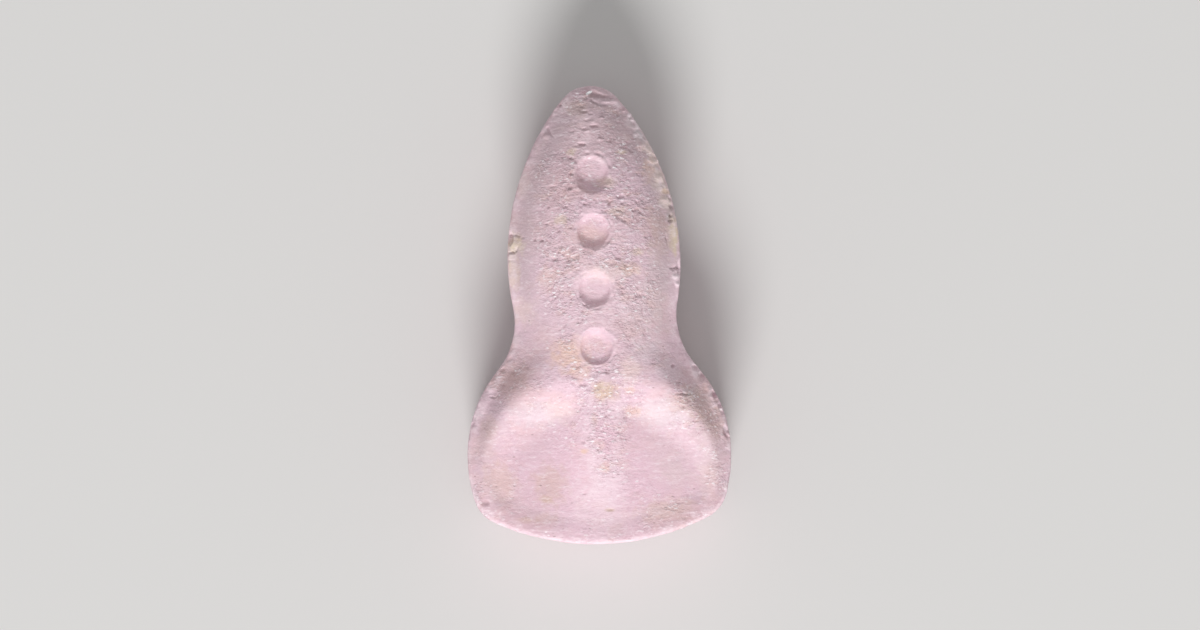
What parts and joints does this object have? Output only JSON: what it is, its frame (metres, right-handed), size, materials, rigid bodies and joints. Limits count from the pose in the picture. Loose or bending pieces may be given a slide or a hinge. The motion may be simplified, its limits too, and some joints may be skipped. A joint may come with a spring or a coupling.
{
  "type": "rocket-shaped pressed tablet",
  "caption": "Small one-piece pressed tablet with a rocket outline: crowned body with round dimples, flared dished tail, upright band and flat bevelled back.",
  "frame": {"origin": "centre of the flat back, midway along the length", "axes": "+Y towards the nose, +Z out of the sculpted face, X across the tail"},
  "size_m": [0.008, 0.014, 0.005],
  "materials": {
    "pressed_powder": "matt pale pink pressed powder, finely granular"
  },
  "bodies": {
    "root": {"tablet": "pressed_powder"}
  },
  "joints": []
}
